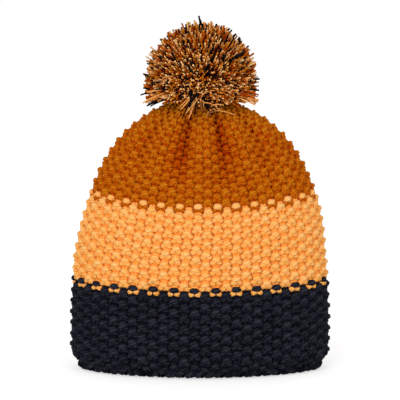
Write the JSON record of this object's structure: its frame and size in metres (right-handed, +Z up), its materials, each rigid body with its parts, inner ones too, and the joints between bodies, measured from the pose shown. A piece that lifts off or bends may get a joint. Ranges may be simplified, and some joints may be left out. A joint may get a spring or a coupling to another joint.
{
  "type": "pom pom beanie",
  "caption": "Chunky knitted beanie with broad navy, apricot and ochre bands, a gathered crown and a mixed-yarn pom that nods, sways and twists on its tie.",
  "frame": {"origin": "middle of the opening, on the plane that the cast-on edge stands on", "axes": "+Z up through the gathered eye and the pom, the front of the hat faces -Y and +X is to its right as seen from the front"},
  "size_m": [0.23, 0.116, 0.305],
  "materials": {
    "ochre_yarn": "matte",
    "apricot_yarn": "matte",
    "navy_yarn": "matte"
  },
  "bodies": {
    "hat": {"cast_on_edge": "navy_yarn", "brim_knit": "navy_yarn", "middle_knit": "apricot_yarn", "crown_knit": "ochre_yarn", "back_seam_navy": "navy_yarn", "back_seam_apricot": "apricot_yarn", "back_seam_ochre": "ochre_yarn", "crown_drawstring": "ochre_yarn", "drawstring_knot": "ochre_yarn"},
    "pom_knot": {"pom_anchor_knot": "navy_yarn"},
    "pom_tails": {"pom_tie_tails": "navy_yarn"},
    "pom": {"pom_tie": "navy_yarn", "pom_strands_ochre": "ochre_yarn", "pom_strands_apricot": "apricot_yarn", "pom_strands_navy": "navy_yarn", "pom_skirt_strands": "ochre_yarn"}
  },
  "joints": [
    {"name": "pom_sway", "type": "hinge", "parent": "hat", "child": "pom_knot", "pos_m": [0, 0, 0.23162], "axis": [0, 1, 0], "range_deg": [-10, 10], "stiffness_Nm_per_rad": 0.1, "deforming": ["pom_skirt_strands"]},
    {"name": "pom_nod", "type": "hinge", "parent": "pom_knot", "child": "pom_tails", "pos_m": [0, 0, 0.23162], "axis": [1, 0, 0], "range_deg": [-10, 10], "stiffness_Nm_per_rad": 0.1, "deforming": ["pom_skirt_strands"]},
    {"name": "pom_twist", "type": "hinge", "parent": "pom_tails", "child": "pom", "pos_m": [0, 0, 0.23162], "axis": [0, 0, 1], "range_deg": [-30, 30], "stiffness_Nm_per_rad": 0.02}
  ]
}
